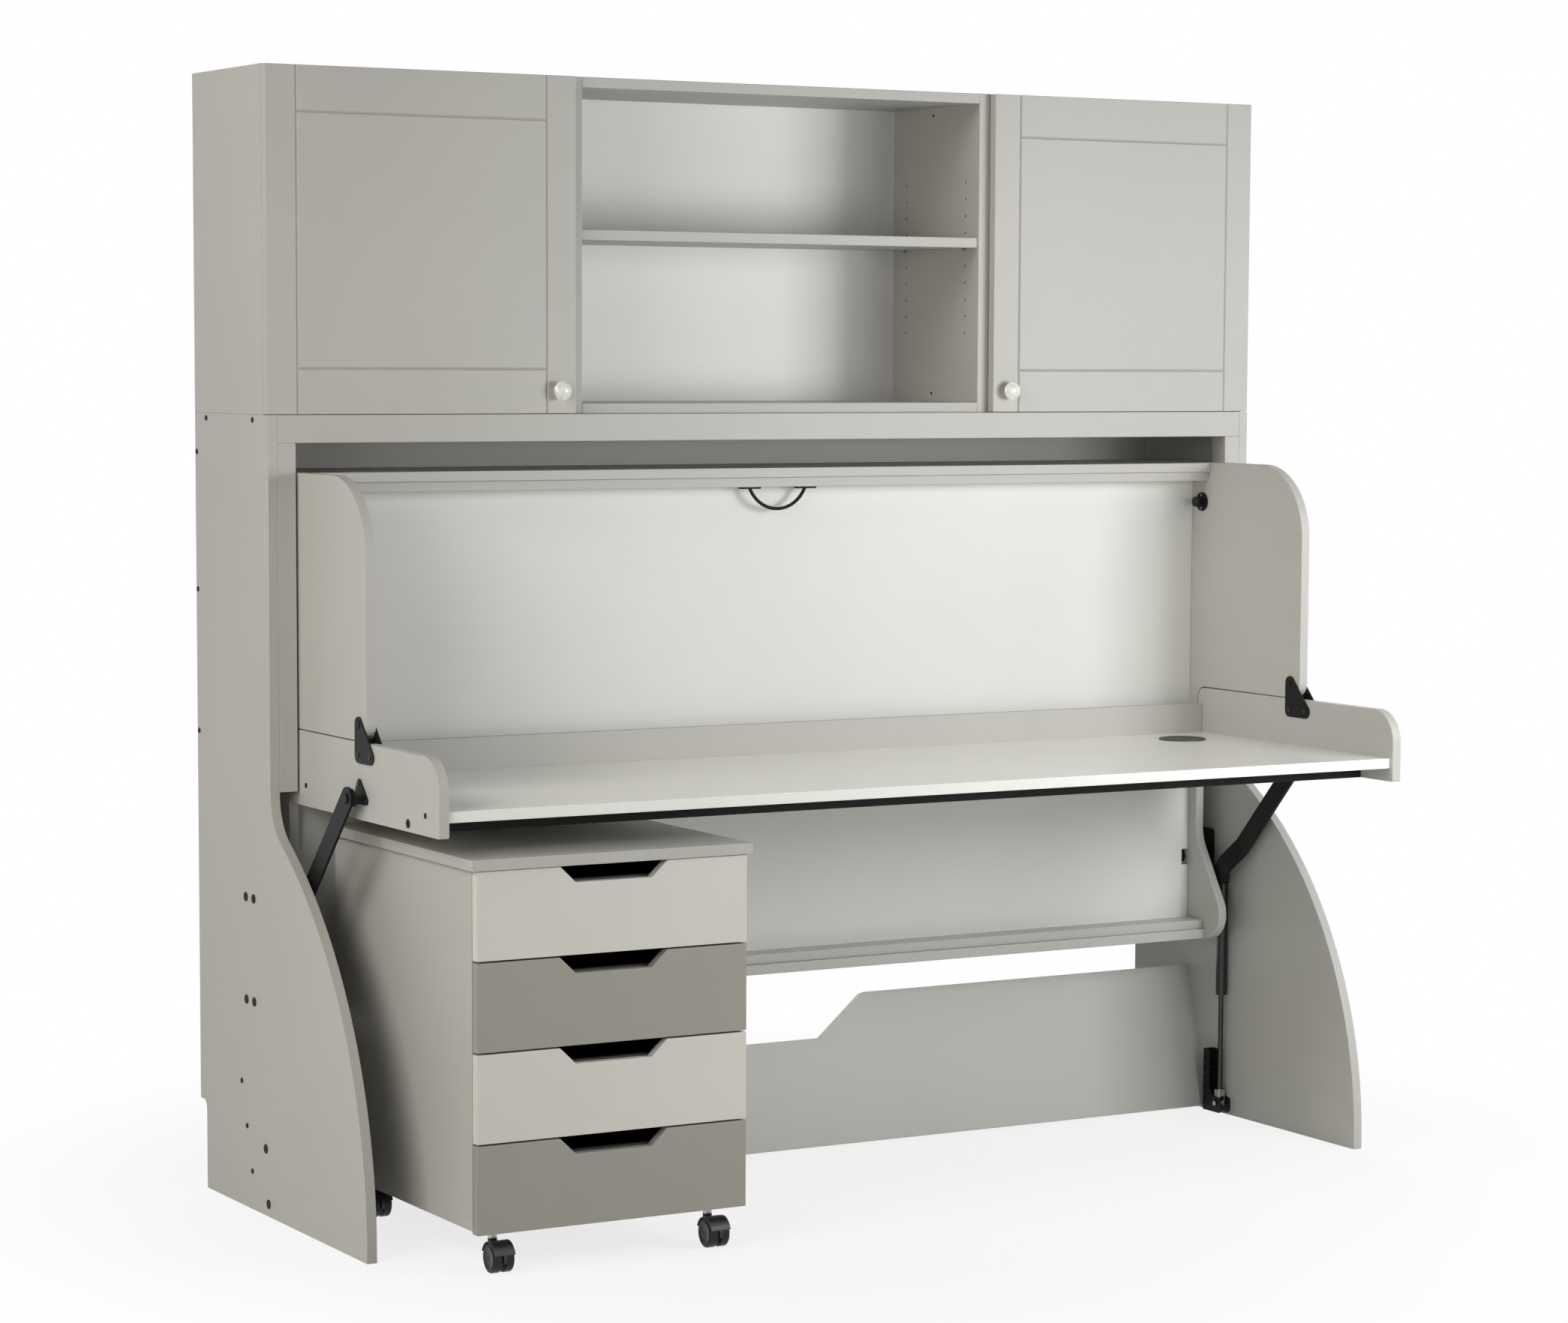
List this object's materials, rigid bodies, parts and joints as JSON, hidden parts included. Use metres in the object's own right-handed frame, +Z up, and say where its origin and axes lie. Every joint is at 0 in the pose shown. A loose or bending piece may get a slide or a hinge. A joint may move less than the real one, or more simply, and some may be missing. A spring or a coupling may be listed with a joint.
{
  "type": "murphy wall bed",
  "caption": "Wall bed that folds flat against the wall behind a desk that stays level as the bed comes down, with an overhead hutch and a rolling drawer pedestal.",
  "frame": {"origin": "floor level, midway across the width and midway between the wall plane and the pedestal's front edge", "axes": "+X to the right as seen from the front, +Y towards the wall, +Z up"},
  "size_m": [2.103, 0.938, 2.03],
  "materials": {
    "grey_board": "matt warm grey laminate",
    "off_white_board": "satin off-white laminate",
    "pale_front": "matt pale grey laminate",
    "taupe_front": "matt taupe laminate",
    "black_steel": "black powder coat",
    "grey_steel": "zinc plated",
    "strut_black": "black paint, satin",
    "white_gloss": "gloss white",
    "black_plastic": "matt black",
    "wheel_rubber": "matt black tread"
  },
  "bodies": {
    "carcass": {"side_panel_left": "grey_board", "side_panel_right": "grey_board", "carcass_top": "grey_board", "front_frame": "grey_board", "back_panel": "grey_board", "floor_stretcher": "grey_board", "pivot_brackets": "black_steel", "strut_feet": "black_steel", "carcass_bolts": "black_steel", "hutch_sides": "grey_board", "hutch_dividers": "grey_board", "hutch_decks": "grey_board", "hutch_backs": "off_white_board", "hutch_shelves": "grey_board", "shelf_pins": "grey_steel", "hinge_mounts": "grey_steel"},
    "door_left": {"door_left": "grey_board", "knob_left": "white_gloss", "hinge_cups_left": "grey_steel"},
    "door_right": {"door_right": "grey_board", "knob_right": "white_gloss", "hinge_cups_right": "grey_steel"},
    "bed": {"bed_base": "off_white_board", "bed_end_left": "grey_board", "bed_end_right": "grey_board", "bed_rails": "grey_board", "bed_battens": "grey_board", "pull_handle": "black_steel", "lock_flange": "black_steel", "pivot_bushes": "grey_steel"},
    "lock": {"lock_bolt": "black_plastic"},
    "desk": {"desk_top": "off_white_board", "desk_side_left": "grey_board", "desk_side_right": "grey_board", "desk_upstand": "grey_board", "desk_rail": "black_steel", "desk_grommet": "black_plastic", "desk_hinge_plates": "black_steel", "arm_brackets": "black_steel"},
    "arm_left": {"link_arm_left": "black_steel"},
    "arm_right": {"link_arm_right": "black_steel"},
    "strut_cylinder_left": {"strut_cylinder_left": "strut_black"},
    "strut_cylinder_right": {"strut_cylinder_right": "strut_black"},
    "strut_rod_left": {"strut_rod_left": "grey_steel"},
    "strut_rod_right": {"strut_rod_right": "grey_steel"},
    "pedestal": {"pedestal_top": "grey_board", "pedestal_case": "grey_board", "drawer_runners": "grey_steel"},
    "drawer_1": {"drawer_1": "pale_front"},
    "caster_1": {"caster_fork_1": "black_plastic"},
    "wheels_1": {"caster_wheels_1": "wheel_rubber"},
    "drawer_2": {"drawer_2": "taupe_front"},
    "caster_2": {"caster_fork_2": "black_plastic"},
    "wheels_2": {"caster_wheels_2": "wheel_rubber"},
    "drawer_3": {"drawer_3": "pale_front"},
    "caster_3": {"caster_fork_3": "black_plastic"},
    "wheels_3": {"caster_wheels_3": "wheel_rubber"},
    "drawer_4": {"drawer_4": "taupe_front"},
    "caster_4": {"caster_fork_4": "black_plastic"},
    "wheels_4": {"caster_wheels_4": "wheel_rubber"}
  },
  "joints": [
    {"name": "bed_fold", "type": "hinge", "parent": "carcass", "child": "bed", "pos_m": [0, 0.224, 0.523], "axis": [1, 0, 0], "range_deg": [0, 90]},
    {"name": "desk_level", "type": "hinge", "parent": "bed", "child": "desk", "pos_m": [0, -0.132, 0.9], "axis": [1, 0, 0], "range_deg": [-90, 0]},
    {"name": "arm_left_swing", "type": "hinge", "parent": "carcass", "child": "arm_left", "pos_m": [-1.0005, 0.224, 0.397], "axis": [1, 0, 0], "range_deg": [0, 90]},
    {"name": "strut_left_tilt", "type": "hinge", "parent": "arm_left", "child": "strut_cylinder_left", "pos_m": [-1.018, 0.14299, 0.48279], "axis": [1, 0, 0], "range_deg": [-90, 0]},
    {"name": "strut_left_stroke", "type": "slide", "parent": "strut_cylinder_left", "child": "strut_rod_left", "axis": [0, 0, 1], "range_m": [0, 0.168]},
    {"name": "arm_right_swing", "type": "hinge", "parent": "carcass", "child": "arm_right", "pos_m": [1.0005, 0.224, 0.397], "axis": [1, 0, 0], "range_deg": [0, 90]},
    {"name": "strut_right_tilt", "type": "hinge", "parent": "arm_right", "child": "strut_cylinder_right", "pos_m": [1.018, 0.14299, 0.48279], "axis": [1, 0, 0], "range_deg": [-90, 0]},
    {"name": "strut_right_stroke", "type": "slide", "parent": "strut_cylinder_right", "child": "strut_rod_right", "axis": [0, 0, 1], "range_m": [0, 0.168]},
    {"name": "door_left_hinge", "type": "hinge", "parent": "carcass", "child": "door_left", "pos_m": [-1.05, 0.148, 1.726], "axis": [0, 0, -1], "range_deg": [0, 105]},
    {"name": "door_right_hinge", "type": "hinge", "parent": "carcass", "child": "door_right", "pos_m": [1.05, 0.148, 1.726], "axis": [0, 0, 1], "range_deg": [0, 105]},
    {"name": "lock_throw", "type": "slide", "parent": "bed", "child": "lock", "axis": [1, 0, 0], "range_m": [0, 0.008]},
    {"name": "pedestal_roll", "type": "slide", "parent": "carcass", "child": "pedestal", "axis": [0, -1, 0], "range_m": [0, 8.96]},
    {"name": "drawer_1_slide", "type": "slide", "parent": "pedestal", "child": "drawer_1", "axis": [0, -1, 0], "range_m": [0, 0.42]},
    {"name": "drawer_2_slide", "type": "slide", "parent": "pedestal", "child": "drawer_2", "axis": [0, -1, 0], "range_m": [0, 0.42]},
    {"name": "drawer_3_slide", "type": "slide", "parent": "pedestal", "child": "drawer_3", "axis": [0, -1, 0], "range_m": [0, 0.42]},
    {"name": "drawer_4_slide", "type": "slide", "parent": "pedestal", "child": "drawer_4", "axis": [0, -1, 0], "range_m": [0, 0.42]},
    {"name": "caster_1_swivel", "type": "hinge", "parent": "pedestal", "child": "caster_1", "pos_m": [-0.88, -0.417, 0.06], "axis": [0, 0, 1], "continuous": true},
    {"name": "wheels_1_spin", "type": "hinge", "parent": "caster_1", "child": "wheels_1", "pos_m": [-0.88, -0.441, 0.025], "axis": [1, 0, 0], "continuous": true},
    {"name": "caster_2_swivel", "type": "hinge", "parent": "pedestal", "child": "caster_2", "pos_m": [-0.47, -0.417, 0.06], "axis": [0, 0, 1], "continuous": true},
    {"name": "wheels_2_spin", "type": "hinge", "parent": "caster_2", "child": "wheels_2", "pos_m": [-0.47, -0.441, 0.025], "axis": [1, 0, 0], "continuous": true},
    {"name": "caster_3_swivel", "type": "hinge", "parent": "pedestal", "child": "caster_3", "pos_m": [-0.88, 0.081, 0.06], "axis": [0, 0, 1], "continuous": true},
    {"name": "wheels_3_spin", "type": "hinge", "parent": "caster_3", "child": "wheels_3", "pos_m": [-0.88, 0.057, 0.025], "axis": [1, 0, 0], "continuous": true},
    {"name": "caster_4_swivel", "type": "hinge", "parent": "pedestal", "child": "caster_4", "pos_m": [-0.47, 0.081, 0.06], "axis": [0, 0, 1], "continuous": true},
    {"name": "wheels_4_spin", "type": "hinge", "parent": "caster_4", "child": "wheels_4", "pos_m": [-0.47, 0.057, 0.025], "axis": [1, 0, 0], "continuous": true}
  ],
  "couplings": [
    {"joint": "desk_level", "follows": "bed_fold", "ratio": -1},
    {"joint": "arm_left_swing", "follows": "bed_fold", "ratio": 1},
    {"joint": "strut_left_tilt", "follows": "bed_fold", "ratio": -1},
    {"joint": "strut_left_stroke", "follows": "bed_fold", "m_per_rad": 0.10619},
    {"joint": "arm_right_swing", "follows": "bed_fold", "ratio": 1},
    {"joint": "strut_right_tilt", "follows": "bed_fold", "ratio": -1},
    {"joint": "strut_right_stroke", "follows": "bed_fold", "m_per_rad": 0.10619},
    {"joint": "pedestal_roll", "follows": "bed_fold", "m_per_rad": 5.7}
  ]
}
